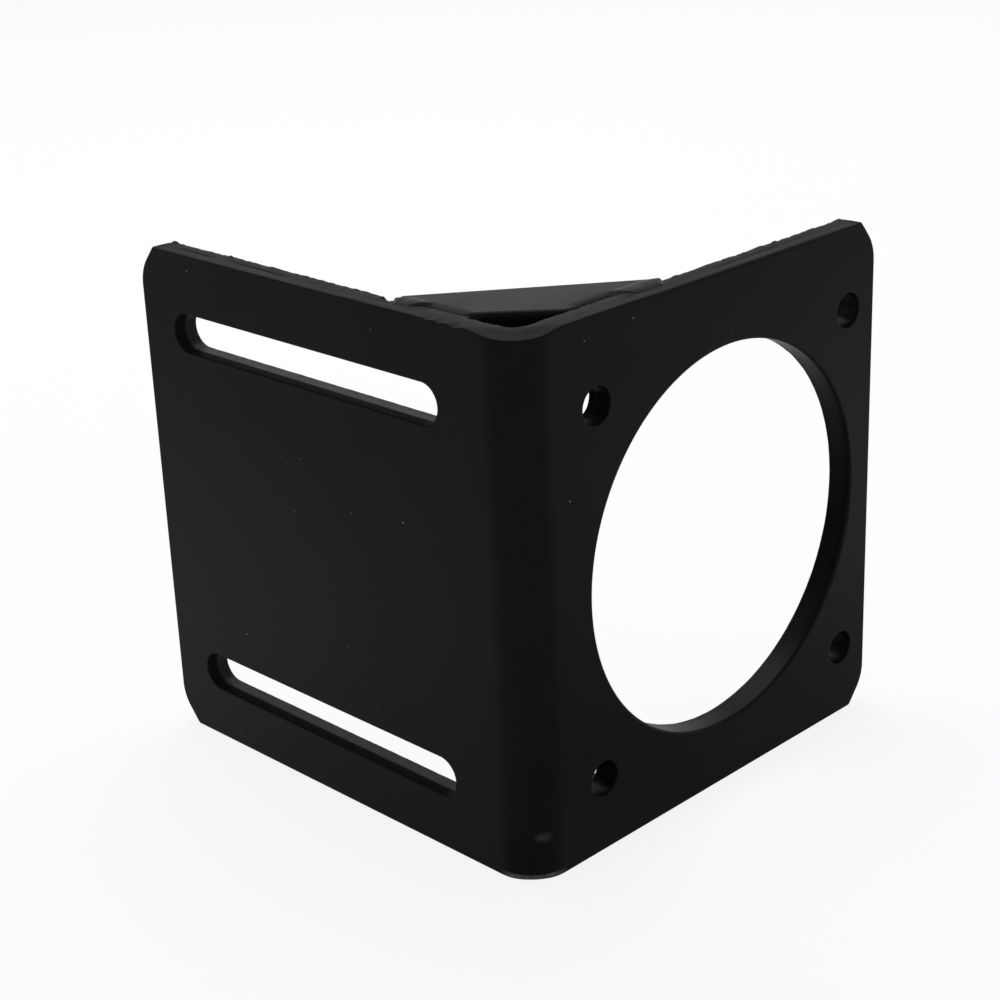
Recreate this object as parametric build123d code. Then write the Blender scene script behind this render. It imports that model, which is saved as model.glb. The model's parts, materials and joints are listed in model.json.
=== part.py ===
from build123d import *
from math import atan2, degrees, sqrt
import os

# A motor mounting bracket: a thick steel plate folded to an L, stiffened by a triangular
# gusset at each end of the fold. Its frame sits on the motor's axis, in the plane that the
# motor seats on: +X runs along the motor plate away from the fold, +Y points from the
# motor plate towards the motor, along the base plate, and +Z runs up along the fold.
# Lengths are in millimetres.

# Plate and fold
sheet_thickness = 5.0
bend_inner_radius = 3.0
motor_plate_width = 96.2        # from the base plate's outer face to the free edge
base_plate_width = 99.0         # from the motor plate's outer face to the free edge
bracket_height = 99.5
free_corner_width = 4.3         # each free corner is cut off, this far in from the side
free_corner_height = 5.1        # and this far along it
free_corner_side_radius = 7.5   # rounding where the cut meets the side
free_corner_end_radius = 1.0    # rounding where it meets the upper or lower edge
outline_roll = 0.6              # rounding that blanking leaves along the outer faces
opening_bevel = 0.4             # the broken edge around slots, holes and the bore

# Motor pattern
motor_axis_from_base = 53.4     # from the base plate's outer face
motor_axis_height = 49.0        # above the lower edge
pilot_bore_diameter = 73.5
motor_bolt_square = 69.6
motor_bolt_hole = 6.7

# Slots of the base plate
slot_width = 7.5
slot_length = 71.0
slot_start = 18.8               # from the motor plate's outer face
lower_slot_height = 14.4        # centre line above the lower edge
slot_spacing = 70.0

# How the plate's ends draw in where it is folded
top_draw_margin = 0.3           # flat rim left at the inside of the fold
top_draw_drop = 1.0
foot_draw_depth = 0.45
foot_draw_height = 1.2
foot_draw_radius = 11.0

# Gussets
gusset_thickness = 5.0
gusset_motor_leg = 36.2
gusset_base_leg = 28.9
gusset_snipe = 12.2             # cut off the corner that faces the fold
gusset_gap = 0.5                # between a gusset and the plate's inner faces
gusset_nose_radius = 1.0
gusset_corner_radius = 1.0
gusset_roll = 0.7

# Welds at the gusset's two noses
weld_depth = 3.0
weld_half_width = 3.5
weld_height = 0.45             # how far an upper bead stands proud
base_weld_start = 25.0          # from the motor plate's outer face
base_weld_length = 8.6
motor_weld_start = 29.0         # from the base plate's outer face
motor_weld_length = 11.8
weld_ripple_pitch = 1.6
crater_width = 2.5
crater_depth = 0.7
crater_from_motor_plate = 34.5  # from the motor plate's outer face

# Places that follow from these
base_outer_x = -motor_axis_from_base
base_inner_x = base_outer_x + sheet_thickness
motor_outer_y = -sheet_thickness
motor_inner_y = 0.0
lower_edge_z = -motor_axis_height
upper_edge_z = lower_edge_z + bracket_height
motor_free_x = base_outer_x + motor_plate_width
base_free_y = motor_outer_y + base_plate_width
bend_outer_radius = bend_inner_radius + sheet_thickness
bend_axis = Vector(base_outer_x + bend_outer_radius, motor_outer_y + bend_outer_radius)
outward = Vector(-1, -1).normalized()       # from the inside of the fold to the outside
mid_height = Plane.XY.offset((lower_edge_z + upper_edge_z) / 2)


def fold_section(distance, height):
    """A plane that cuts the fold square across, with x outward from its axis and y up."""
    origin = bend_axis + outward * distance + Vector(0, 0, height)
    return Plane(origin=origin, x_dir=outward, z_dir=Vector(-1, 1))


def cut_free_corners(plate, along, across):
    """Cut off the two free corners of one side of the L and round both ends of each cut."""
    side = plate.faces().sort_by(across)[-1]
    corners = side.edges().filter_by(along)
    chamfer(corners, length=free_corner_height, length2=free_corner_width, reference=side)
    side = plate.faces().sort_by(across)[-1]
    fillet(side.edges().filter_by(along), free_corner_side_radius)
    upper, lower = plate.faces().sort_by(Axis.Z)[-1], plate.faces().sort_by(Axis.Z)[0]
    ends = [face.edges().filter_by(along).sort_by(across)[-1] for face in (upper, lower)]
    fillet(ends, free_corner_end_radius)


def folded_plate():
    """The plate bent to an L, with its four free corners cut off."""
    with BuildPart() as plate:
        with BuildSketch(Plane.XY.offset(lower_edge_z)):
            with BuildLine():
                Polyline(
                    (motor_free_x, motor_outer_y),
                    (base_outer_x, motor_outer_y),
                    (base_outer_x, base_free_y),
                    (base_inner_x, base_free_y),
                    (base_inner_x, motor_inner_y),
                    (motor_free_x, motor_inner_y),
                    close=True,
                )
            make_face()
            heel = vertices().sort_by_distance((base_outer_x, motor_outer_y, lower_edge_z))[0]
            fillet(heel, bend_outer_radius)
            throat = vertices().sort_by_distance((base_inner_x, motor_inner_y, lower_edge_z))[0]
            fillet(throat, bend_inner_radius)
        extrude(amount=bracket_height)
        cut_free_corners(plate, along=Axis.Y, across=Axis.X)
        cut_free_corners(plate, along=Axis.X, across=Axis.Y)
    return plate.part


def top_draw():
    """What the fold draws down at the top: the end face slopes away to the outside."""
    slope = top_draw_drop / (sheet_thickness - top_draw_margin)
    reach = 2 * sheet_thickness
    with BuildPart() as wedge:
        with BuildSketch(fold_section(bend_inner_radius + top_draw_margin, upper_edge_z)):
            with BuildLine():
                Polyline((0, 0), (reach, -slope * reach), (reach, reach), (0, reach), close=True)
            make_face()
        extrude(amount=2 * bend_outer_radius, both=True)
    return wedge.part


def foot_draw():
    """What the fold draws in at the foot: all that lies outside a leaning cylinder."""
    lean = degrees(atan2(foot_draw_depth, foot_draw_height))
    apex = bend_axis + outward * bend_outer_radius + Vector(0, 0, lower_edge_z + foot_draw_height)
    at_apex = Plane(origin=apex, x_dir=outward, z_dir=(0, 0, 1))
    column = Pos(-foot_draw_radius, 0, 0) * Cylinder(foot_draw_radius, 6 * foot_draw_height)
    block = Box(
        sheet_thickness,
        sqrt(2) * bend_outer_radius,
        2 * foot_draw_height,
        align=(Align.CENTER, Align.CENTER, Align.MAX),
    )
    return at_apex * (block - Rot(0, lean, 0) * column)


def motor_openings():
    """The pilot bore and the four bolt holes, as what is taken out of the motor plate."""
    seat = Plane(origin=(0, 0, 0), x_dir=(1, 0, 0), z_dir=(0, -1, 0))
    with BuildPart() as openings:
        with BuildSketch(seat):
            Circle(pilot_bore_diameter / 2)
            with GridLocations(motor_bolt_square, motor_bolt_square, 2, 2):
                Circle(motor_bolt_hole / 2)
        extrude(amount=sheet_thickness)
    return openings.part


def base_slots():
    """The two long adjusting slots, as what is taken out of the base plate."""
    middle_y = motor_outer_y + slot_start + slot_length / 2
    middle_z = lower_edge_z + lower_slot_height + slot_spacing / 2
    face = Plane(origin=(base_inner_x, middle_y, middle_z), x_dir=(0, 1, 0), z_dir=(-1, 0, 0))
    with BuildPart() as slots:
        with BuildSketch(face):
            with GridLocations(slot_length, slot_spacing, 1, 2):
                SlotOverall(slot_length, slot_width)
        extrude(amount=sheet_thickness)
    return slots.part


def skin_faces(plate):
    """The outer faces of the base plate, of the motor plate and of the fold between them."""
    base_skin = plate.faces().sort_by(Axis.X)[0]
    motor_skin = plate.faces().sort_by(Axis.Y)[0]
    round_faces = plate.faces().filter_by(GeomType.CYLINDER)
    fold_skin = round_faces.sort_by_distance((base_outer_x, motor_outer_y, 0))[0]
    return base_skin, motor_skin, fold_skin


def bevelled_openings(plate):
    """Break every opening's edge on the outer faces."""
    base_skin, motor_skin, _ = skin_faces(plate)
    rims = base_skin.inner_wires() + motor_skin.inner_wires()
    return plate.chamfer(opening_bevel, None, rims.edges())


def rolled_outline(plate):
    """Round the plate's outline on the outer faces, all the way round over the fold."""
    base_skin, motor_skin, fold_skin = skin_faces(plate)
    flat_edges = base_skin.outer_wire().edges() + motor_skin.outer_wire().edges()
    fold_edges = fold_skin.edges()
    outline = [edge for edge in flat_edges if edge not in fold_edges]
    outline += [edge for edge in fold_edges if edge not in flat_edges]
    return plate.fillet(outline_roll, outline)


def weld_crater():
    """The dip that the end of the upper base weld leaves in the plate's inner edge."""
    radius = ((crater_width / 2) ** 2 + crater_depth**2) / (2 * crater_depth)
    centre_y = motor_outer_y + crater_from_motor_plate
    centre_z = upper_edge_z + radius - crater_depth
    return Pos(base_inner_x, centre_y, centre_z) * Sphere(radius)


def bent_plate():
    """The whole folded plate with its openings and its worked edges."""
    plate = folded_plate() - top_draw() - motor_openings() - base_slots()
    plate = rolled_outline(bevelled_openings(plate))
    return plate - foot_draw() - weld_crater()


def gusset_outline():
    """The gusset's three sides before its corners are taken off, right angle first."""
    corner_x = base_inner_x + gusset_gap
    corner_y = motor_inner_y + gusset_gap
    motor_nose = (corner_x + gusset_motor_leg, corner_y)
    base_nose = (corner_x, corner_y + gusset_base_leg)
    return (corner_x, corner_y), motor_nose, base_nose


def upper_gusset():
    """The triangular stiffener that closes the L at its upper edge."""
    (corner_x, corner_y), motor_nose, base_nose = gusset_outline()
    with BuildPart() as gusset:
        with BuildSketch(Plane.XY.offset(upper_edge_z)):
            with BuildLine():
                Polyline(
                    (corner_x + gusset_snipe, corner_y),
                    motor_nose,
                    base_nose,
                    (corner_x, corner_y + gusset_snipe),
                    close=True,
                )
            make_face()
            noses = vertices().sort_by_distance((corner_x, corner_y, upper_edge_z))
            fillet(noses[2:], gusset_nose_radius)
            sniped = vertices().sort_by_distance((corner_x, corner_y, upper_edge_z))
            fillet(sniped[:2], gusset_corner_radius)
        extrude(amount=-gusset_thickness)
        fillet(gusset.faces().sort_by(Axis.Z)[-1].edges(), gusset_roll)
    return gusset.part


def lower_gusset():
    """The same stiffener at the lower edge."""
    return mirror(upper_gusset(), about=mid_height)


def behind_hypotenuse():
    """Everything on the fold's side of the gusset's long free edge, round its upper face."""
    (corner_x, corner_y), motor_nose, base_nose = gusset_outline()
    reach = 2 * sheet_thickness
    slope = gusset_base_leg / gusset_motor_leg
    with BuildPart() as region:
        with BuildSketch(Plane.XY.offset(upper_edge_z - weld_depth)):
            with BuildLine():
                Polyline(
                    (corner_x - reach, corner_y - reach),
                    (motor_nose[0] + reach / slope, corner_y - reach),
                    (corner_x - reach, base_nose[1] + reach * slope),
                    close=True,
                )
            make_face()
        extrude(amount=weld_depth + sheet_thickness)
    return region.part


def weld_crown(length):
    """What a bead stands proud: shallow domes in a row along +X that start at the origin."""
    radius = (weld_half_width**2 + weld_height**2) / (2 * weld_height)
    travel = length - 2 * weld_half_width
    count = 1 + max(1, round(travel / weld_ripple_pitch))
    with BuildPart() as crown:
        for number in range(count):
            with Locations((weld_half_width + travel * number / (count - 1), 0, weld_height - radius)):
                Sphere(radius)
        split(bisect_by=Plane.XY, keep=Keep.TOP)
    return crown.part


def weld_root(length):
    """What a bead fills: the seam between the plate and the gusset, along +X."""
    width = 2 * (gusset_gap + gusset_roll)
    return Box(length, width, weld_depth, align=(Align.MIN, Align.CENTER, Align.MAX))


def weld_on_seam(bead, seam, plate, gusset):
    """A bead laid along its seam, shaped by the plate and the gusset that it joins."""
    return (seam * bead & behind_hypotenuse()) - plate - gusset


def build():
    """Every piece of the bracket, by the name of its node."""
    plate = bent_plate()
    gusset = upper_gusset()
    base_start = (base_inner_x, motor_outer_y + base_weld_start, upper_edge_z)
    motor_start = (base_outer_x + motor_weld_start, motor_inner_y, upper_edge_z)
    seams = {
        "base_weld": (Plane(origin=base_start, x_dir=(0, 1, 0)), base_weld_length),
        "motor_weld": (Plane(origin=motor_start, x_dir=(1, 0, 0)), motor_weld_length),
    }
    pieces = {"bent_plate": plate, "upper_gusset": gusset, "lower_gusset": lower_gusset()}
    for name, (seam, length) in seams.items():
        root = weld_root(length)
        proud_bead = root + weld_crown(length)
        pieces["upper_" + name] = weld_on_seam(proud_bead, seam, plate, gusset)
        dressed_bead = weld_on_seam(root, seam, folded_plate(), gusset)
        pieces["lower_" + name] = mirror(dressed_bead, about=mid_height)
    return pieces


os.makedirs("parts", exist_ok=True)
for node, piece in build().items():
    export_step(piece, f"parts/{node}.step")
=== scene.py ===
import json
import math
import bpy
import numpy as np
from mathutils import Matrix, Vector
from mathutils.geometry import delaunay_2d_cdt


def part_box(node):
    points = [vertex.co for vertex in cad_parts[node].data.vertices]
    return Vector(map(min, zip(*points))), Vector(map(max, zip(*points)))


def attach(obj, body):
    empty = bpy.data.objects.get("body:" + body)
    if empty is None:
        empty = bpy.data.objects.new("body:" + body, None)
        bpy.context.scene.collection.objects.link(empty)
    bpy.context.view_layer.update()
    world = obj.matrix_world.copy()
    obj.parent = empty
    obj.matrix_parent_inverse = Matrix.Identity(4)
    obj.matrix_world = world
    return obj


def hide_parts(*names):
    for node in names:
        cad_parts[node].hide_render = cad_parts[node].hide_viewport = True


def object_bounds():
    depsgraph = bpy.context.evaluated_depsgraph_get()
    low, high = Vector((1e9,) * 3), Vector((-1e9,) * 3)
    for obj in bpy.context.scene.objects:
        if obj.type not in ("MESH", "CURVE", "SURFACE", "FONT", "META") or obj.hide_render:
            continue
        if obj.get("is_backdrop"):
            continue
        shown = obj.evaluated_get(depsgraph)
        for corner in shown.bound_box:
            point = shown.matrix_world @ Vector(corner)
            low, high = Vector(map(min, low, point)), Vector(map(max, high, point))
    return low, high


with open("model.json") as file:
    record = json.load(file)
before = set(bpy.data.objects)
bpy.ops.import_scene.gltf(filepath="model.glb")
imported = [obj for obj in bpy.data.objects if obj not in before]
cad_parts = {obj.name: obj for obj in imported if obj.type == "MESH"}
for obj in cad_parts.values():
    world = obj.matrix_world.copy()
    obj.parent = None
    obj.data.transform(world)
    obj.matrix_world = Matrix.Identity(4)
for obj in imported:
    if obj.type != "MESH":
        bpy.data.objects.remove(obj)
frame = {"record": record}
cad_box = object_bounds()

# Lengths are in millimetres until a mesh is made.
MM = 0.001
mounts = {mount["name"]: mount for mount in frame["record"]["mounts"]}


def box_mm(node):
    """A CAD node's lowest and highest corners."""
    return [np.array(corner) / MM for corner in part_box(node)]


# The CAD plate and gusset. Their boxes don't show the fold's radius, the cut-off corners or
# the gusset's legs up to their sharp tips, so those sizes are given again here.
plate_low, plate_high = box_mm("bent_plate")
gusset_low, gusset_high = box_mm("upper_gusset")
lower_z, upper_z = plate_low[2], plate_high[2]
sheet = -plate_low[1]
bend_inner = 3.0
bend_outer = bend_inner + sheet
bend_axis = plate_low[:2] + bend_outer
bend_run = (bend_inner + sheet / 2) * math.pi / 2
outward = np.array([-1.0, -1.0]) / math.sqrt(2)
sideways = np.array([-1.0, 1.0]) / math.sqrt(2)
corner_cut_width, corner_cut_height = 4.3, 5.1
corner_side_radius, corner_end_radius = 7.5, 1.0
gusset_corner = gusset_low[:2]
gusset_motor_leg, gusset_base_leg, gusset_snipe = 36.2, 28.9, 12.2
gusset_thickness = gusset_high[2] - gusset_low[2]

# Along the unfolded blank, zero is where the base plate meets the fold. Both welds and the
# fold lie between the last two places.
base_end = bend_axis[1] - plate_high[1]
motor_end = bend_run + plate_high[0] - bend_axis[0]
past_base_weld, past_motor_weld = -24.0, 30.0

# How round the outer rims are rolled, how far into a face the worked rows reach, how far the
# plate's outer faces lie inside the CAD's, so that the flecks fit, and how far above the CAD
# plate its upper edge may rise.
outline_roll, upper_motor_roll = 0.32, 0.72
opening_roll, bore_roll = 0.25, 0.6
face_margin = 0.95
fleck_height = 0.05
highest_rise = 0.42

# What share of each wall is burnished, and how plainly that shows: the outline, the two
# slots, the bore and the bolt holes.
plate_burnish = ((0.5, 0), (0.47, 1), (0.47, 1), (0.28, 0.08), (0.5, 0.1))

# How close the mesh's places lie.
outline_step, crater_step, gusset_step = 0.45, 0.2, 0.4
slot_step, bore_step, bolt_step = 0.5, 0.6, 0.4
bend_columns = 24
wide_column = 4.0
wide_rows = np.arange(lower_z + 3.0, upper_z - 2.9, 3.1)


def grown(values, start, length):
    """From 0 to 1 over a length that begins at a start."""
    return np.clip((values - start) / length, 0, 1)


def add_object(name, data):
    """A new object in the scene."""
    made = bpy.data.objects.new(name, data)
    bpy.context.collection.objects.link(made)
    return made


# ------------------------------------------------------------------ outlines
def unit(vector):
    return vector / np.linalg.norm(vector)


def quarter_turned(direction):
    return np.array([-direction[1], direction[0]])


def rounded_corner(before, here, after, radius, step):
    """Points of the arc that rounds one corner of a polygon."""
    arriving, leaving = unit(here - before), unit(after - here)
    turn = math.atan2(np.dot(quarter_turned(arriving), leaving), np.dot(arriving, leaving))
    if radius == 0 or abs(turn) < 1e-6:
        return [here]
    side = math.copysign(1, turn)
    start = here - arriving * radius * math.tan(abs(turn) / 2)
    spoke = -quarter_turned(arriving) * radius * side
    centre = start - spoke
    count = max(4, math.ceil(radius * abs(turn) / step))
    angles = turn * np.arange(count + 1) / count
    cosine, sine = np.cos(angles)[:, None], np.sin(angles)[:, None]
    return list(centre + cosine * spoke + sine * quarter_turned(spoke))


def outline(corners, step):
    """Points round a polygon of (x, y, radius, step to the next corner), anticlockwise."""
    spots = [np.array(corner[:2], float) for corner in corners]
    count = len(corners)
    arcs = []
    for number, corner in enumerate(corners):
        around = spots[number - 1], spots[number], spots[(number + 1) % count]
        arcs.append(rounded_corner(*around, corner[2], step))
    points = []
    for number, arc in enumerate(arcs):
        start, end = arc[-1], arcs[(number + 1) % count][0]
        run_step = corners[number][3] if len(corners[number]) > 3 else step
        pieces = max(1, math.ceil(np.linalg.norm(end - start) / run_step - 1e-6))
        points += arc[:-1]
        points += [start + (end - start) * piece / pieces for piece in range(pieces)]
    return np.array(points)


def round_hole(centre, radius, step):
    """Points round a circle, clockwise, because what lies inside it is empty."""
    count = math.ceil(2 * math.pi * radius / step)
    angles = -np.arange(count) * 2 * math.pi / count
    return np.array(centre) + radius * np.column_stack([np.cos(angles), np.sin(angles)])


def slot_hole(centre, length, radius, step):
    """Points round a slot that runs along the first axis, clockwise.

    Its corners' radius is a hair under half its width, so that no straight run vanishes.
    """
    half = np.array([length / 2, radius])
    signs = [(-1, -1), (-1, 1), (1, 1), (1, -1)]
    corners = [(*(centre + half * sign), radius * 0.9999) for sign in signs]
    return outline(corners, step)


def empty_side(loop):
    """At each point of a loop, the direction out of the metal, which is on its left."""
    along = np.roll(loop, -1, 0) - np.roll(loop, 1, 0)
    along /= np.linalg.norm(along, axis=1)[:, None]
    return np.column_stack([along[:, 1], -along[:, 0]])


def wander(loop, pace, seed):
    """Smooth random values from -1 to 1 along a loop, which change over the given pace."""
    gaps = np.linalg.norm(np.roll(loop, -1, 0) - loop, axis=1)
    travelled = np.concatenate([[0], np.cumsum(gaps)[:-1]])
    knots = max(3, round(gaps.sum() / pace))
    values = np.random.default_rng(seed).uniform(-1, 1, knots)
    spot = travelled / gaps.sum() * knots
    before = np.floor(spot).astype(int)
    blend = spot - before
    blend = blend * blend * (3 - 2 * blend)
    return values[before % knots] * (1 - blend) + values[(before + 1) % knots] * blend


# ------------------------------------------------------------------ worked edges
def sheared_edge(loop, thickness, roll, seed, ragged, groove=0.0, raised=0.0, lean=0.0,
                 chipped=0.0):
    """Rows of a sheared edge, from one face to the other: (outward offset, depth) of each.

    The punch rolls the outer rim, burnishes the upper part of the wall and tears the rest,
    which leans by up to the given amount, with a thin broken groove where the two meet. The
    inner rim is ragged, and raised where it has burrs. The outer rim is lower where chipped.
    """
    flat = np.zeros(len(loop))
    roll, lean, rim = flat + roll, flat + lean, flat + lean + chipped
    cut = groove * np.clip(0.8 + 1.1 * wander(loop, 7, seed), 0, 1)
    torn = wander(loop, 2.4, seed + 1)
    nibbled = wander(loop, 0.7, seed + 2)
    wave = 0.12 * wander(loop, 9, seed + 3)
    bite = 0.02 * min(1.0, ragged / 0.16)
    brim = -ragged / 2 + ragged / 2 * (0.5 * torn + 0.5 * nibbled)
    room = face_margin - roll - rim

    def row(share, offset, shift=0.0):
        return offset, flat + share * thickness + shift

    outer_face = [row(0, -face_margin + 0.25 * step * room) for step in (0, 2, 3)]
    rolled = [
        (roll * (math.sin(angle) - 1) - rim, roll * (1 - math.cos(angle)))
        for angle in np.radians(np.arange(0, 91, 15))
    ]
    burnished = [row(0.26, -lean), row(0.41, -lean, wave)]
    grooved = [
        row(0.45, -lean - 0.05 * cut, wave),
        row(0.48, -lean - 0.26 * cut, wave),
        row(0.51, -lean - 0.28 * cut, wave),
    ]
    torn_half = [
        row(0.55, -0.9 * lean - 0.05 * cut - bite + bite * torn, wave),
        row(0.68, -0.6 * lean - 2 * bite + 2 * bite * torn),
        row(0.82, -0.25 * lean - 0.05 + 0.05 * nibbled),
    ]
    ragged_brim = [
        row(0.87, brim + 0.4 * raised),
        row(0.95, brim + raised),
        row(0.985, brim + raised),
        row(1, brim + 0.8 * raised - 0.05),
    ]
    inner_face = [row(1, flat - ragged - 0.2), row(1, flat - face_margin)]
    return outer_face + rolled + burnished + grooved + torn_half + ragged_brim + inner_face


def inside_loop(points, loop):
    """Which points lie inside a closed loop."""
    ends = np.roll(loop, -1, 0)
    crossings = np.zeros(len(points), int)
    for start, end in zip(loop, ends):
        level = (start[1] > points[:, 1]) != (end[1] > points[:, 1])
        rise = end[1] - start[1] if end[1] != start[1] else 1e-9
        reach = start[0] + (points[:, 1] - start[1]) * (end[0] - start[0]) / rise
        crossings += level & (points[:, 0] < reach)
    return crossings % 2 == 1


def clear_of(points, rings, margin):
    """The points that are inside the first ring, outside the others and not near any."""
    kept = points
    for number, ring in enumerate(rings):
        inside = inside_loop(kept, ring)
        kept = kept[inside if number == 0 else ~inside]
        far = np.full(len(kept), True)
        for start in range(0, len(ring), 4):
            far &= np.linalg.norm(kept - ring[start], axis=1) > margin
        kept = kept[far]
    return kept


def face_triangles(rings, loose, chains):
    """Fill the face between its rings. Chains are runs of places that keep their edges."""
    spots, edges, owner = [], [], []
    for number, ring in enumerate(rings):
        first = len(spots)
        spots += list(ring)
        owner += [number] * len(ring)
        edges += [(first + place, first + (place + 1) % len(ring)) for place in range(len(ring))]
    spots += list(loose)
    owner += [-1] * len(loose)
    places = np.array(spots)
    for chain in chains:
        members = [int(np.argmin(np.linalg.norm(places - spot, axis=1))) for spot in chain]
        edges += list(zip(members[:-1], members[1:]))
    found = delaunay_2d_cdt([Vector(spot) for spot in places], edges, [], 1, 1e-7)
    origins = [sources[0] for sources in found[3]]
    triangles = []
    for corners in found[2]:
        a, b, c = (origins[corner] for corner in corners)
        if owner[a] > 0 and owner[a] == owner[b] == owner[c]:
            continue
        (ax, ay), (bx, by), (cx, cy) = places[a], places[b], places[c]
        turn = (bx - ax) * (cy - ay) - (by - ay) * (cx - ax)
        triangles.append((a, b, c) if turn > 0 else (a, c, b))
    return triangles


def wall_faces(first, count, rows):
    """Quads between the rows of one wall, whose places are numbered from the first."""
    faces = []
    for row in range(rows - 1):
        for spot in range(count):
            a = first + row * count + spot
            b = first + row * count + (spot + 1) % count
            faces.append((a, a + count, b + count, b))
    return faces


def worked_slab(loops, edges, place, thickness, loose, chains=(), burnished=((0.5, 0),)):
    """A closed slab with its openings: the walls from the edges' rows, and its two faces.

    Each wall is burnished down to its own share of the thickness and torn below. Gives the
    slab's places, its faces and the marks of each place: its depth, where 0.5 is the level at
    which the wall turns, and whether it is on the outline's wall or on an opening's wall.
    """
    places, marks, faces, starts = [], [], [], []
    first = 0
    for number, (loop, rows) in enumerate(zip(loops, edges)):
        out = empty_side(loop)
        turn, plainly = burnished[min(number, len(burnished) - 1)]
        for offset, depth in rows:
            level = np.interp(depth / thickness, [0, turn, 1], [0, 0.5, 1])
            on_wall = (depth > 0.02) & (depth < 0.999 * thickness)
            places.append(place(loop + out * offset[:, None], depth))
            marks.append([level, on_wall * float(number == 0), on_wall * float(plainly)])
        faces += wall_faces(first, len(loop), len(rows))
        starts.append(first)
        first += len(loop) * len(rows)
    for row, depth in ((0, 0.0), (-1, thickness)):
        rings, owners = [], []
        for start, loop, rows in zip(starts, loops, edges):
            rings.append(loop + empty_side(loop) * rows[row][0][:, None])
            ring_start = start + (row % len(rows)) * len(loop)
            owners += range(ring_start, ring_start + len(loop))
        inner = clear_of(loose, rings, 0.24)
        owners += range(first, first + len(inner))
        first += len(inner)
        places.append(place(inner, np.full(len(inner), depth)))
        marks.append(np.outer([depth / thickness, 0, 0], np.ones(len(inner))))
        for triangle in face_triangles(rings, inner, chains):
            corners = tuple(owners[corner] for corner in triangle)
            faces.append(corners if row == 0 else corners[::-1])
    depth, wall, opening = np.concatenate(marks, axis=1)
    return np.concatenate(places), faces, {"depth": depth, "wall": wall, "opening": opening}


def make_piece(name, places, faces, material, marks):
    """A mesh object from places in millimetres, with the marks that its paint reads."""
    mesh = bpy.data.meshes.new(name)
    mesh.from_pydata((places * MM).tolist(), [], faces)
    for label, values in marks.items():
        mesh.attributes.new(label, "FLOAT", "POINT").data.foreach_set("value", values)
    mesh.shade_smooth()
    mesh.validate()
    mesh.materials.append(material)
    return add_object(name, mesh)


# ------------------------------------------------------------------ materials
class Nodes:
    """A short way to add linked nodes to a tree."""

    def __init__(self, tree):
        self.tree = tree

    def add(self, kind, output=0, settings=None, **inputs):
        """Add a node, set or link its inputs by name, and give one of its outputs."""
        node = self.tree.nodes.new(kind)
        for name, value in (settings or {}).items():
            setattr(node, name, value)
        for name, value in inputs.items():
            self.feed(node, name, value)
        return node.outputs[output]

    def feed(self, node, name, value):
        """Link a socket to an input, or set its value. A name such as in_0 is a number."""
        key = int(name[3:]) if name.startswith("in_") else name.replace("_", " ")
        if isinstance(value, bpy.types.NodeSocket):
            self.tree.links.new(value, node.inputs[key])
        else:
            node.inputs[key].default_value = value

    def maths(self, operation, *values):
        inputs = {f"in_{number}": value for number, value in enumerate(values)}
        return self.add("ShaderNodeMath", settings={"operation": operation}, **inputs)

    def plus(self, first, *others):
        for other in others:
            first = self.maths("ADD", first, other)
        return first

    def minus(self, first, *others):
        for other in others:
            first = self.maths("SUBTRACT", first, other)
        return first

    def times(self, first, *others):
        for other in others:
            first = self.maths("MULTIPLY", first, other)
        return first

    def mix(self, share, first, second):
        """Blend two colours."""
        settings = {"data_type": "RGBA"}
        return self.add("ShaderNodeMix", 2, settings, in_0=share, in_6=first, in_7=second)

    def ramp(self, value, *stops):
        """A colour ramp, whose stops are (place, brightness)."""
        node = self.tree.nodes.new("ShaderNodeValToRGB")
        self.feed(node, "Fac", value)
        points = node.color_ramp.elements
        while len(points) < len(stops):
            points.new(0.5)
        for point, (place, shade) in zip(points, stops):
            point.position = place
            point.color = (shade, shade, shade, 1)
        return node.outputs[0]

    def noise(self, place, scale, detail=2.0, roughness=0.5):
        return self.add("ShaderNodeTexNoise", Vector=place, Scale=scale, Detail=detail,
                        Roughness=roughness)

    def mark(self, name):
        """The values that a mesh carries under a name."""
        return self.add("ShaderNodeAttribute", output="Fac", settings={"attribute_name": name})


def new_material(name):
    """A material, its nodes and its shader."""
    material = bpy.data.materials.new(name)
    material.use_nodes = True
    made = Nodes(material.node_tree)
    return material, made, made.tree.nodes["Principled BSDF"]


def coating_colour(made, place, cloud, depth, wall, opening):
    """Near black, a little paler where the wall was torn, with a painted line of shade in the outline
    wall's groove, and palest where it is rubbed, which at the fold's foot is also a painted highlight.
    """
    face = made.ramp(cloud, (0.3, 0.002), (0.7, 0.0035))
    # Painted shade: the outline wall's colour dips darker at depth 0.5, where its groove lies, and is
    # paler where torn.
    wall_tone_and_groove_shade = made.ramp(depth, (0.1, 0.003), (0.4, 0.003), (0.5, 0.002), (0.6, 0.003), (0.8, 0.005))
    bore = made.ramp(depth, (0.45, 0.0065), (0.54, 0.012))
    painted = made.mix(opening, made.mix(wall, face, wall_tone_and_groove_shade), bore)
    speckle = made.ramp(made.noise(place, 900.0, 5.0, 0.7), (0.42, 0.55), (0.62, 1.15))
    # The rubbed mark's pale colour is wear, and at the fold's foot also a painted highlight.
    return made.mix(made.times(made.mark("rubbed_and_highlit"), speckle), painted, (0.09, 0.09, 0.086, 1))


def coating_bump(made, place, torn):
    """A fine grain everywhere, and coarse tears where the wall was torn."""
    fine = made.times(made.noise(place, 2600.0), 0.15)
    coarse = made.times(made.noise(place, 2400.0, 3.0, 0.7), torn, 1.2)
    height = made.plus(fine, coarse)
    return made.add("ShaderNodeBump", Strength=0.9, Distance=0.0001, Height=height)


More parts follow.
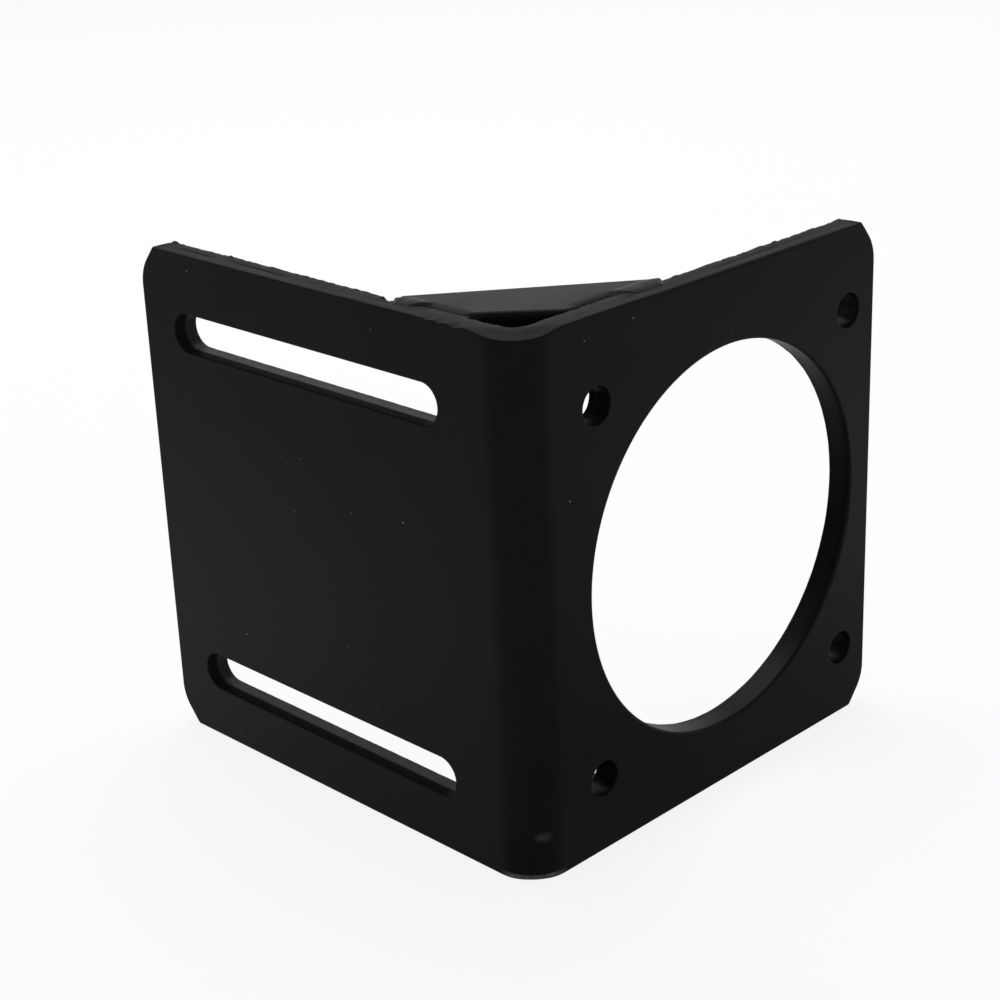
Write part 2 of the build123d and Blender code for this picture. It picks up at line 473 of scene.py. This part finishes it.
def matte_black_coating():
    """Thin matte black paint on steel: smooth on the faces, rough where the wall was torn."""
    material, made, shader = new_material("matte black coating")
    place = made.add("ShaderNodeTexCoord", output="Object")
    depth, wall, opening = (made.mark(name) for name in ("depth", "wall", "opening"))
    cloud = made.noise(place, 140.0, 4.0, 0.6)
    made.feed(shader, "Base Color", coating_colour(made, place, cloud, depth, wall, opening))
    walls = made.plus(wall, made.times(opening, 0.35))
    smooth = made.ramp(cloud, (0.3, 0.36), (0.7, 0.42))
    made.feed(shader, "Roughness", made.plus(smooth, made.times(walls, 0.12)))
    bore_sheen = made.ramp(depth, (0.45, 0.004), (0.54, 0.085))
    made.feed(shader, "Specular IOR Level", made.mix(opening, (0.06, 0.06, 0.06, 1), bore_sheen))
    torn = made.times(walls, made.ramp(depth, (0.42, 0.25), (0.5, 1.0)))
    made.feed(shader, "Normal", coating_bump(made, place, torn))
    return material


black = matte_black_coating()


# ------------------------------------------------------------------ bent plate
def folded(spots, depth):
    """Where folding puts places of the blank that lie at a depth below its outer face."""
    along, up = spots.T
    turn = np.clip(along / bend_run, 0, 1) * math.pi / 2
    reach = bend_outer - depth
    x = bend_axis[0] - reach * np.cos(turn) + np.maximum(along - bend_run, 0)
    y = bend_axis[1] - reach * np.sin(turn) + np.maximum(-along, 0)
    return np.column_stack([x, y, up])


def shear_off_square(places):
    """The blank's upper edge was sheared a little off square, and rises to its free ends."""
    x, y, z = places.T
    base_rise = 0.1 * grown(y, 31, 3) + 0.2 * grown(y, 35, 45)
    motor_rise = 0.08 + 0.34 * grown(x, -10, 48)
    past_fold = grown(x, bend_axis[0], 20)
    share = grown(z, upper_z - 9.0, 7.0)
    places[:, 2] += share * np.where(past_fold > 0, past_fold * motor_rise, base_rise)


def draw_down(places):
    """The fold's upper end slopes away to the outside."""
    flat_rim, drop, softness = 0.3, 1.0, 0.25
    out = (places[:, :2] - bend_axis) @ outward - bend_inner - flat_rim
    slope = drop / (sheet - flat_rim)
    sunk = slope * softness * np.log1p(np.exp(np.clip(out / softness, -30, 30)))
    places[:, 2] -= sunk * grown(places[:, 2], upper_z - 3.0, 1.4)


def draw_in(places):
    """The fold's lower end draws in, as far as a leaning cylinder."""
    depth, height, radius = 0.45, 1.2, 11.0
    lean = math.atan2(depth, height)
    from_axis = places[:, :2] - bend_axis
    out, side = from_axis @ outward - bend_outer, from_axis @ sideways
    rise = np.minimum(places[:, 2] - lower_z - height, 0)
    round_off = np.sqrt(np.maximum(radius**2 - side**2, 0)) - radius
    limit = (round_off + rise * math.sin(lean)) / math.cos(lean)
    near = (rise < 0) & (np.abs(side) < bend_outer / math.sqrt(2)) & (out > -sheet)
    excess = np.where(near, np.maximum(out - limit, 0), 0)
    places[:, :2] -= excess[:, None] * outward


def dip_crater(places):
    """The end of the base weld has burnt a dip into the plate's inner edge."""
    width, depth, from_outer_face = 3.5, 0.9, 34.2
    radius = ((width / 2) ** 2 + depth**2) / (2 * depth)
    across, along = plate_low[0] + sheet, plate_low[1] + from_outer_face
    centre_z = upper_z + radius - depth
    within = radius**2 - (places[:, 0] - across) ** 2 - (places[:, 1] - along) ** 2
    bottom = centre_z - np.sqrt(np.maximum(within, 0))
    sunk = (within > 0) & (places[:, 2] > bottom)
    places[sunk, 2] = bottom[sunk]


def placed_on_plate(spots, depth):
    """Where the finished plate has places of the blank, at their depths."""
    places = folded(spots, fleck_height + depth * (1 - fleck_height / sheet))
    shear_off_square(places)
    draw_down(places)
    draw_in(places)
    dip_crater(places)
    places[:, 2] = np.minimum(places[:, 2], upper_z + highest_rise)
    return places


def plate_outline():
    """The blank's outline, with close points over the fold and by the crater."""
    width, height = corner_cut_width, corner_cut_height
    side, end = corner_side_radius, corner_end_radius
    column = bend_run / bend_columns
    corners = [
        (base_end + width, lower_z, end),
        (0, lower_z, 0, column),
        (bend_run, lower_z, 0),
        (motor_end - width, lower_z, end),
        (motor_end, lower_z + height, side),
        (motor_end, upper_z - height, side),
        (motor_end - width, upper_z, end),
        (bend_run, upper_z, 0, column),
        (0, upper_z, 0),
        (past_base_weld, upper_z, 0, crater_step),
        (past_base_weld - 5, upper_z, 0),
        (base_end + width, upper_z, end),
        (base_end, upper_z - height, side),
        (base_end, lower_z + height, side),
    ]
    return outline(corners, outline_step)


def plate_openings():
    """The slots, then the bore, then the bolt holes, on the blank."""
    openings = []
    for name in ("upper_slot", "lower_slot"):
        middle = np.array(mounts[name]["pos_m"]) / MM
        centre = np.array([bend_axis[1] - middle[1], middle[2]])
        size = mounts[name]["dims"]
        openings.append(slot_hole(centre, size["slot_length_mm"], size["hole_r_mm"], slot_step))
    axis = np.array([bend_run - bend_axis[0], 0.0])
    openings.append(round_hole(axis, mounts["motor_pilot"]["dims"]["r_mm"], bore_step))
    pattern = mounts["motor_bolts"]["dims"]
    half_x, half_z = pattern["spacing_x_mm"] / 2, pattern["spacing_y_mm"] / 2
    for across, up in ((-1, -1), (1, -1), (1, 1), (-1, 1)):
        spot = axis + (across * half_x, up * half_z)
        openings.append(round_hole(spot, pattern["hole_r_mm"], bolt_step))
    return openings


def plate_inner_points():
    """Places inside the plate's faces: a wide grid, and close columns over the fold.

    The fold has close rows by its two ends and where it carries the scuff.
    """
    fold_columns = np.linspace(0, bend_run, bend_columns + 1)
    base_columns = np.arange(-wide_column, base_end, -wide_column)[::-1]
    motor_columns = np.arange(bend_run + wide_column, motor_end, wide_column)
    places = []
    for column in (*base_columns, *fold_columns, *motor_columns):
        places += [(column, row) for row in wide_rows]
    foot_rows = lower_z + np.array([1.2, 1.6, 2.2])
    top_rows = upper_z - np.array([2.2, 1.5])
    scuff_rows = np.arange(lower_z + 6.5, lower_z + 10.6, 0.4)
    for column in fold_columns:
        places += [(column, row) for row in (*foot_rows, *top_rows, *scuff_rows)]
    return np.array(places)


def swell(along, place, half_length, steepness):
    """A flat-topped swelling, 1 high, round a place on the edge."""
    return np.clip(steepness - steepness * np.abs(along - place) / half_length, 0, 1)


def burrs(along):
    """How far the upper edge's inner brim is raised by its few larger burrs."""
    raised = np.zeros(len(along))
    for place, half_length, rise in (
        (base_end + 5.2, 1.1, 0.4),
        (base_end + 22.0, 0.6, 0.2),
        (base_end + 43.0, 1.4, 0.1),
        (motor_end - 24.5, 1.0, 0.2),
        (motor_end - 4.2, 1.6, 0.25),
    ):
        raised += rise * swell(along, place, half_length, 1.6)
    return raised


def chips(along):
    """How far the upper edge's outer rim is chipped down near the base weld."""
    ragged = 0.05 * np.clip(1 - np.abs(along + 10) / 8, 0, 1) * (1 + np.sin(9 * along))
    for place, half_length, size in ((-12.5, 0.8, 0.22), (-9.8, 0.9, 0.3), (-6.1, 1.3, 0.4)):
        ragged += size * swell(along, place, half_length, 1.4)
    return ragged


def outline_rows(loop):
    """The rows of the plate's outer wall. Most of what varies is on its upper edge."""
    along, up = loop.T
    on_top = up > upper_z - 0.01
    by_welds = on_top & (along > past_base_weld) & (along < past_motor_weld)
    groove = np.where(on_top & (along < past_base_weld), 0.75, 0.3)
    groove = np.where(by_welds, 0.0, groove)
    lean = 0.2 * grown(np.abs(along), 28, 8) * on_top
    before_corner = motor_end - corner_cut_width - along
    softer = grown(along, 26, 10) * grown(before_corner, 0, 5) * on_top
    roll = outline_roll + (upper_motor_roll - outline_roll) * softer
    raised, chipped = burrs(along) * on_top, chips(along) * on_top
    return sheared_edge(loop, sheet, roll, 11, 0.3, groove, raised, lean, chipped)


def rubbed_and_highlit_places(places):
    """Where the paint is paler: the fold's drawn-in foot, which is rubbed and also a painted highlight,
    and a small scuff above it.
    """
    from_axis = places[:, :2] - bend_axis
    out, side = from_axis @ outward, from_axis @ sideways
    height = places[:, 2] - lower_z
    # The foot's pale band is worn paint and, in part, a painted highlight on the drawn-in foot.
    foot = (1 - grown(np.abs(side), 4.3, 1.6)) * (height < 1.15) * (out > bend_outer * 0.7)
    from_scuff = np.hypot((side + 1.9) / 1.3, (height - 8.5) / 0.7)
    scuff = np.clip(1.5 - from_scuff, 0, 1) * (out > 6.5)
    return np.maximum(0.8 * foot, 0.28 * scuff)


def build_plate():
    loops = [plate_outline(), *plate_openings()]
    edges = [outline_rows(loops[0])]
    for number, loop in enumerate(loops[1:]):
        roll = bore_roll if number == 2 else opening_roll
        edges.append(sheared_edge(loop, sheet, roll, seed=40 + 10 * number, ragged=0.08))
    loose = plate_inner_points()
    chains = [[(column, row) for row in wide_rows] for column in (0, bend_run)]
    places, faces, marks = worked_slab(
        loops, edges, placed_on_plate, sheet, loose, chains, plate_burnish)
    marks["rubbed_and_highlit"] = rubbed_and_highlit_places(places)
    piece = make_piece("folded_plate", places, faces, black, marks)
    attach(piece, "root")
    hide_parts("bent_plate")


build_plate()


# ------------------------------------------------------------------ gussets
def gusset_edge():
    """The gusset's outline: two legs, the long free edge and the cut-off inner corner."""
    x, y = gusset_corner
    corners = [
        (x + gusset_snipe, y, 1.0),
        (x + gusset_motor_leg, y, 1.0),
        (x, y + gusset_base_leg, 1.0),
        (x, y + gusset_snipe, 1.0),
    ]
    return outline(corners, gusset_step)


def gusset_inner_points():
    """Places inside the gusset's faces: a wide grid, and close rows by its two seams."""
    grid = np.arange(0.0, 40.0, 2.5)
    wide = [(across, along) for across in grid for along in grid if min(across, along) > 3]
    seam = np.arange(6.0, 33.0, 0.8)
    by_base = [(away, along) for away in (1.25, 1.6, 2.0, 2.5) for along in seam]
    by_motor = [(along, away) for away, along in by_base]
    return gusset_corner + np.array(wide + by_base + by_motor)


def gusset_places(sign):
    """How the gusset's outline and depth become places: sign is 1 above and -1 below.

    The upper gusset's face sags along both seams, between the beads and the cut-off corner.
    """
    outer = upper_z if sign > 0 else lower_z
    reach, deepest = 2.4, 0.8

    def place(spots, depth):
        x, y = spots.T
        from_seam = np.clip(1 - (spots - gusset_corner) / reach, 0, 1) ** 2
        by_base = grown(y, 9.5, 3) * (1 - grown(y, 19.5, 4))
        by_motor = grown(x, -35, 3) * (1 - grown(x, -23, 4))
        sagged = deepest * (from_seam[:, 0] * by_base + from_seam[:, 1] * by_motor)
        lowered = sagged * (1 - depth / gusset_thickness) * (sign > 0)
        return np.column_stack([spots, outer - sign * (depth + lowered)])

    return place


def build_gusset(name, node, sign, seed):
    """A gusset, whose outer rim is rolled least on its long free edge."""
    loop = gusset_edge()
    shares = (loop - gusset_corner) / (gusset_motor_leg, gusset_base_leg)
    from_long_edge = np.clip(1 - shares.sum(1), 0, 1)
    roll = 0.15 + 0.75 * grown(from_long_edge, 0, 0.06)
    edges = [sheared_edge(loop, gusset_thickness, roll, seed, ragged=0.1, groove=0.3)]
    places, faces, marks = worked_slab(
        [loop], edges, gusset_places(sign), gusset_thickness, gusset_inner_points())
    if sign < 0:
        faces = [face[::-1] for face in faces]
    piece = make_piece(name, places, faces, black, marks)
    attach(piece, "root")
    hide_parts(node)


build_gusset("upper_web", "upper_gusset", 1, 201)
build_gusset("lower_web", "lower_gusset", -1, 221)


# ------------------------------------------------------------------ welds
class Tree(Nodes):
    """A Geometry Nodes tree with named inputs."""

    def __init__(self, name, inputs):
        tree = bpy.data.node_groups.new(name, "GeometryNodeTree")
        tree.interface.new_socket("Geometry", in_out="OUTPUT", socket_type="NodeSocketGeometry")
        super().__init__(tree)
        self.keys = {}
        for label, kind in inputs.items():
            socket = tree.interface.new_socket(label, in_out="INPUT", socket_type=f"NodeSocket{kind}")
            self.keys[label] = socket.identifier
        self.given = tree.nodes.new("NodeGroupInput").outputs

    def finish(self, geometry):
        whole = self.add("GeometryNodeRealizeInstances", Geometry=geometry)
        painted = self.add("GeometryNodeSetMaterial", Geometry=whole, Material=self.given["Material"])
        output = self.tree.nodes.new("NodeGroupOutput")
        self.feed(output, "Geometry", painted)

    def make(self, values):
        """Run the tree and give the result as a plain mesh."""
        carrier = add_object("carrier", bpy.data.meshes.new("carrier"))
        modifier = carrier.modifiers.new("tree", "NODES")
        modifier.node_group = self.tree
        for label, value in values.items():
            modifier[self.keys[label]] = value
        depsgraph = bpy.context.evaluated_depsgraph_get()
        evaluated = carrier.evaluated_get(depsgraph)
        mesh = bpy.data.meshes.new_from_object(evaluated, depsgraph=depsgraph)
        carrier.modifiers.remove(modifier)
        bpy.data.objects.remove(carrier)
        return mesh


def bead_run(tree, share, across):
    """Three lengths for a place: along the seam, from the bead's slanting start, and to its end.

    The bead's tail lies before its start, so the second length is below zero there.
    """
    given = tree.given
    start = tree.times(across, given["Start Slant"])
    inner = tree.times(tree.maths("MINIMUM", across, 0.0), given["End Slant"])
    outer = tree.times(tree.maths("MAXIMUM", across, 0.0), -0.35)
    end = tree.plus(given["Length"], tree.plus(inner, outer))
    reach = tree.minus(end, start)
    whole = tree.plus(reach, given["Tail"])
    from_start = tree.minus(tree.times(share, whole), given["Tail"])
    return tree.plus(start, from_start), from_start, tree.minus(reach, from_start)


def bead_fullness(tree, climb, squared, outside, to_end):
    """How full the bead is, from 0 to 1: crowned across, and falling off outside its end."""
    rise = tree.maths("SMOOTH_MIN", climb, 1.0, 0.4)
    flank = tree.maths("POWER", tree.maths("MAXIMUM", tree.minus(1.0, squared), 0.0), 1.4)
    fall = tree.maths("MINIMUM", tree.maths("DIVIDE", to_end, 1.2), 1.0)
    fade = tree.plus(tree.times(outside, fall), tree.minus(1.0, outside))
    return tree.times(rise, flank, fade)


def bead_ripples(tree, from_start, squared, full):
    """One crescent for each step of the torch."""
    bowed = tree.plus(from_start, tree.times(squared, 1.1))
    phase = tree.maths("FRACT", tree.maths("DIVIDE", bowed, tree.given["Ripple Pitch"]))
    crest = tree.times(phase, tree.minus(1.0, phase), 4.0)
    return tree.times(crest, tree.given["Ripple Height"], full)


def bead_lumps(tree, along, across, full):
    spot = tree.add("ShaderNodeCombineXYZ", X=along, Y=across)
    lump = tree.add("ShaderNodeTexNoise", settings={"noise_dimensions": "4D"}, Vector=spot,
                    W=tree.given["Seed"], Scale=0.55, Detail=3.0)
    return tree.times(tree.times(tree.minus(lump, 0.5), tree.given["Roughness Height"]), full)


def bead_drop(tree, outside, to_end):
    """How far the bead slumps over its last stretch, most on the outside."""
    short = tree.minus(1.0, tree.maths("MINIMUM", tree.maths("DIVIDE", to_end, 1.5), 1.0))
    slump = tree.plus(tree.times(outside, 0.6), 0.4)
    return tree.times(short, slump, tree.given["End Drop"])


def bead_sink(tree, climb, squared):
    """How far the bead's skin lies below the plate's edge at its tail and its two sides."""
    hollow = tree.times(tree.minus(1.0, tree.maths("MINIMUM", climb, 1.0)), 0.45)
    sides = tree.times(tree.times(squared, squared), 0.3)
    return tree.plus(tree.plus(hollow, sides), 0.05)


def bead_tree():
    """A weld bead on a seam: x runs along it, y across it towards the plate's outside, z is up."""
    sizes = ("Length", "Half Width", "Crown", "Start Slant", "End Slant", "Ripple Pitch",
             "Ripple Height", "Roughness Height", "Root", "End Drop", "Tail")
    inputs = dict.fromkeys(sizes, "Float") | {"Seed": "Float", "Material": "Material"}
    tree = Tree("weld bead", inputs)
    given = tree.given
    block = tree.add(
        "GeometryNodeMeshCube", Size=(1, 2, 1), Vertices_X=120, Vertices_Y=54, Vertices_Z=2)
    split = tree.tree.nodes.new("ShaderNodeSeparateXYZ")
    tree.feed(split, "Vector", tree.add("GeometryNodeInputPosition"))
    share, side = tree.plus(split.outputs[0], 0.5), split.outputs[1]
    across = tree.times(side, given["Half Width"])
    along, from_start, to_end = bead_run(tree, share, across)
    climb = tree.maths("MAXIMUM", tree.maths("DIVIDE", from_start, 1.3), 0.0)
    squared = tree.times(side, side)
    outside = tree.add("ShaderNodeMapRange", Value=across, From_Min=-0.2, From_Max=0.9)
    full = bead_fullness(tree, climb, squared, outside, to_end)
    ripple = bead_ripples(tree, from_start, squared, full)
    top = tree.plus(tree.times(full, given["Crown"]), ripple, bead_lumps(tree, along, across, full))
    skin = tree.minus(top, bead_drop(tree, outside, to_end), bead_sink(tree, climb, squared))
    is_top = tree.maths("GREATER_THAN", split.outputs[2], 0.0)
    root = tree.times(given["Root"], -1.0)
    height = tree.add("ShaderNodeMix", in_0=is_top, in_2=root, in_3=skin)
    moved = tree.add("ShaderNodeCombineXYZ", X=along, Y=across, Z=height)
    shaped = tree.add("GeometryNodeSetPosition", Geometry=block, Position=moved)
    tree.finish(tree.add("GeometryNodeSetShadeSmooth", Geometry=shaped))
    return tree


def seam_matrix(corner, run, across, up, height):
    """What lays a bead along its seam: its columns are the bead's own axes."""
    columns = [Vector(axis) for axis in (run, across, (0, 0, up))]
    turn = Matrix(columns).transposed().to_4x4()
    return Matrix.Translation(Vector((*corner, height))) @ turn


def lay_bead(name, node, tree, seam, values, flip=False):
    """Make a bead, lay it along its seam and let it stand for its CAD solid."""
    mesh = tree.make(values | {"Material": black})
    mesh.transform(seam)
    mesh.transform(Matrix.Scale(MM, 4))
    if flip:
        mesh.flip_normals()
    mesh.name = name
    piece = add_object(name, mesh)
    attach(piece, "root")
    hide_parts(node)


def build_welds():
    """The two proud beads above, and the two below, which are dressed flush."""
    tree = bead_tree()
    seam_x, seam_y = gusset_corner - 0.25
    base_start, motor_start = (seam_x, 20.9), (-23.6, seam_y)
    common = {"Half Width": 3.0, "Ripple Pitch": 2.1, "Start Slant": 0.6, "Root": 1.5}
    base = common | {"Length": 7.55, "Crown": 0.38, "End Slant": 0.8, "Ripple Height": 0.03,
                     "Roughness Height": 0.25, "Seed": 3.0, "End Drop": 0.75, "Tail": 9.0}
    motor = common | {"Length": 11.0, "Crown": 0.36, "End Slant": 1.25, "Ripple Height": 0.015,
                      "Roughness Height": 0.2, "Seed": 8.0, "End Drop": 0.12, "Tail": 8.5}
    dressed = {"Crown": 0.0, "Ripple Height": 0.0, "Roughness Height": 0.12, "Half Width": 1.2,
               "Tail": 0.0, "End Drop": 0.1}
    for level, up, height, change in (("upper", 1, upper_z, {}), ("lower", -1, lower_z, dressed)):
        by_base = seam_matrix(base_start, (0, 1, 0), (-1, 0, 0), up, height)
        by_motor = seam_matrix(motor_start, (1, 0, 0), (0, -1, 0), up, height)
        lay_bead(f"{level}_base_bead", f"{level}_base_weld", tree, by_base, base | change, up < 0)
        lay_bead(f"{level}_motor_bead", f"{level}_motor_weld", tree, by_motor, motor | change, up > 0)


build_welds()


# ------------------------------------------------------------------ dust flecks
def dust_on_paint():
    """Pale dust fused into the paint: lighter than the coating, and as matt."""
    material, made, shader = new_material("dust in the paint")
    place = made.add("ShaderNodeTexCoord", output="Object")
    patch = made.noise(place, 60.0)
    made.feed(shader, "Base Color", made.ramp(patch, (0.42, 0.01), (0.62, 0.16)))
    shader.inputs["Roughness"].default_value = 0.6
    return material


def fleck_tree():
    """Scatter flattened grains over a surface and stand them on it."""
    inputs = dict.fromkeys(("Density", "Smallest", "Largest", "Flatness"), "Float")
    tree = Tree("dust flecks", inputs | {"Surface": "Object", "Seed": "Int", "Material": "Material"})
    given = tree.given
    surface = tree.add("GeometryNodeObjectInfo", output="Geometry", Object=given["Surface"])
    scatter = tree.tree.nodes.new("GeometryNodeDistributePointsOnFaces")
    for name in ("Density", "Seed"):
        tree.feed(scatter, name, given[name])
    tree.feed(scatter, "Mesh", surface)
    grain = tree.add("GeometryNodeMeshIcoSphere", Radius=1.0, Subdivisions=2)
    size = tree.add("FunctionNodeRandomValue", output=1, in_2=given["Smallest"], in_3=given["Largest"],
                    Seed=given["Seed"])
    height = tree.times(given["Smallest"], given["Flatness"])
    scale = tree.add("ShaderNodeCombineXYZ", X=size, Y=size, Z=height)
    grains = tree.add(
        "GeometryNodeInstanceOnPoints", Points=scatter.outputs["Points"], Instance=grain,
        Rotation=scatter.outputs["Rotation"], Scale=scale)
    tree.finish(grains)
    return tree


def dusted_surface():
    """The parts of the two outer faces that gather dust, as quads that avoid the openings."""
    x, y = plate_low[0] + fleck_height, plate_low[1] + fleck_height
    quads = [
        [(x, y0, z0), (x, y0, z1), (x, y1, z1), (x, y1, z0)]
        for y0, y1, z0, z1 in ((6, 92, 40.5, 49), (6, 92, -29, 30), (6, 88, -47, -40), (90, 93, 10, 42))
    ]
    quads += [
        [(x0, y, z0), (x1, y, z0), (x1, y, z1), (x0, y, z1)]
        for x0, x1, z0, z1 in ((-45, 38, 39, 49), (-45, -39, -28, 28), (38.5, 42, -40, 40))
    ]
    mesh = bpy.data.meshes.new("dusted surface")
    corners = [tuple(np.array(corner) * MM) for quad in quads for corner in quad]
    faces = [tuple(range(first, first + 4)) for first in range(0, len(corners), 4)]
    mesh.from_pydata(corners, [], faces)
    return mesh


def scatter_flecks():
    tree = fleck_tree()
    surface = add_object("dusted surface", dusted_surface())
    mesh = tree.make({
        "Surface": surface, "Density": 3200.0, "Smallest": 0.00006, "Largest": 0.00017,
        "Flatness": 0.8, "Seed": 4, "Material": dust_on_paint()})
    bpy.data.objects.remove(surface)
    mesh.name = "dust_flecks"
    piece = add_object("dust_flecks", mesh)
    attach(piece, "root")


scatter_flecks()


# ------------------------------------------------------------------ camera, light and floor
def camera():
    data = bpy.data.cameras.new("camera")
    data.lens = 74.49
    data.sensor_width = 36
    data.shift_x = 0.00489
    data.shift_y = -0.02262
    data.clip_start = 0.01
    data.clip_end = 20
    place = Vector((-271.827, -222.838, 146.684)) * MM
    target = Vector((-7.82, 47.3, 1.38)) * MM
    roll = math.radians(2.305)
    forward = (target - place).normalized()
    level = forward.cross(Vector((0, 0, 1))).normalized()
    right = Matrix.Rotation(roll, 3, forward) @ level
    turn = Matrix((right, right.cross(forward), -forward)).transposed()
    camera_object = add_object("camera", data)
    camera_object.matrix_world = Matrix.Translation(place) @ turn.to_4x4()
    bpy.context.scene.camera = camera_object


def studio():
    """A pale room: what a camera or a reflection meets is bright low down and dimmer above."""
    world = bpy.data.worlds.new("studio")
    bpy.context.scene.world = world
    world.use_nodes = True
    made = Nodes(world.node_tree)
    direction = made.add("ShaderNodeTexCoord", output="Generated")
    height = made.add("ShaderNodeSeparateXYZ", output=2, Vector=direction)
    glow = made.ramp(made.maths("MAXIMUM", height, 0.0), (0.0, 1.0), (0.42, 1.0), (0.64, 0.3))
    made.feed(world.node_tree.nodes["Background"], "Color", glow)


def pale_floor():
    """A floor that looks white and keeps soft shadows.

    What the coating reflects of it is painted darker: a painted shadow that is dimmest close to the
    bracket, and painted shade that is dimmer far away.
    """
    material, made, unused_shader = new_material("pale floor")
    made.tree.nodes.remove(unused_shader)
    path = made.tree.nodes.new("ShaderNodeLightPath").outputs
    glossy = path["Is Glossy Ray"]
    seen_ray = made.maths("MAXIMUM", path["Is Camera Ray"], path["Is Transmission Ray"])
    share = made.maths("MAXIMUM", made.times(seen_ray, 0.85), glossy)
    place = made.add("ShaderNodeTexCoord", output="Object")
    away = made.add("ShaderNodeVectorMath", 1, {"operation": "LENGTH"}, in_0=place)
    # Painted shade seen only in reflections: the floor's glow is dimmed near the bracket in place of
    # its shadow, and far off.
    painted_reflection_shade = made.ramp(away, (0.05, 0.42), (0.15, 1.0), (0.22, 1.0), (0.4, 0.66))
    strength = made.add("ShaderNodeMix", in_0=glossy, in_2=1.0, in_3=painted_reflection_shade)
    white = made.add("ShaderNodeEmission", Color=(1, 1, 1, 1), Strength=strength)
    paint = made.add("ShaderNodeBsdfDiffuse", Color=(0.94, 0.94, 0.94, 1))
    seen = made.add("ShaderNodeMixShader", Fac=share, in_1=paint, in_2=white)
    made.feed(made.tree.nodes["Material Output"], "Surface", seen)
    return material


def floor():
    """A wide square, a hair below the bracket, that keeps its soft shadow."""
    half, height = 1.5, lower_z * MM - 0.0001
    corners = [(-half, -half), (half, -half), (half, half), (-half, half)]
    mesh = bpy.data.meshes.new("floor")
    mesh.from_pydata([(x, y, height) for x, y in corners], [], [(0, 1, 2, 3)])
    mesh.materials.append(pale_floor())
    piece = add_object("floor", mesh)
    piece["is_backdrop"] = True


def softbox(name, place, size, strength):
    """A square lamp that faces the bracket."""
    data = bpy.data.lights.new(name, "AREA")
    data.size = size
    data.energy = strength
    lamp = add_object(name, data)
    spot = Vector(place)
    lamp.matrix_world = Matrix.Translation(spot) @ spot.to_track_quat("Z", "Y").to_matrix().to_4x4()


camera()
studio()
floor()
softbox("overhead softbox", (0.25, 0.45, 1.1), 0.9, 9.0)
bpy.context.scene.view_settings.view_transform = "Standard"

size = {"cad": cad_box, "visual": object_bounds()}
{key: [list(corner) for corner in box] for key, box in size.items()}
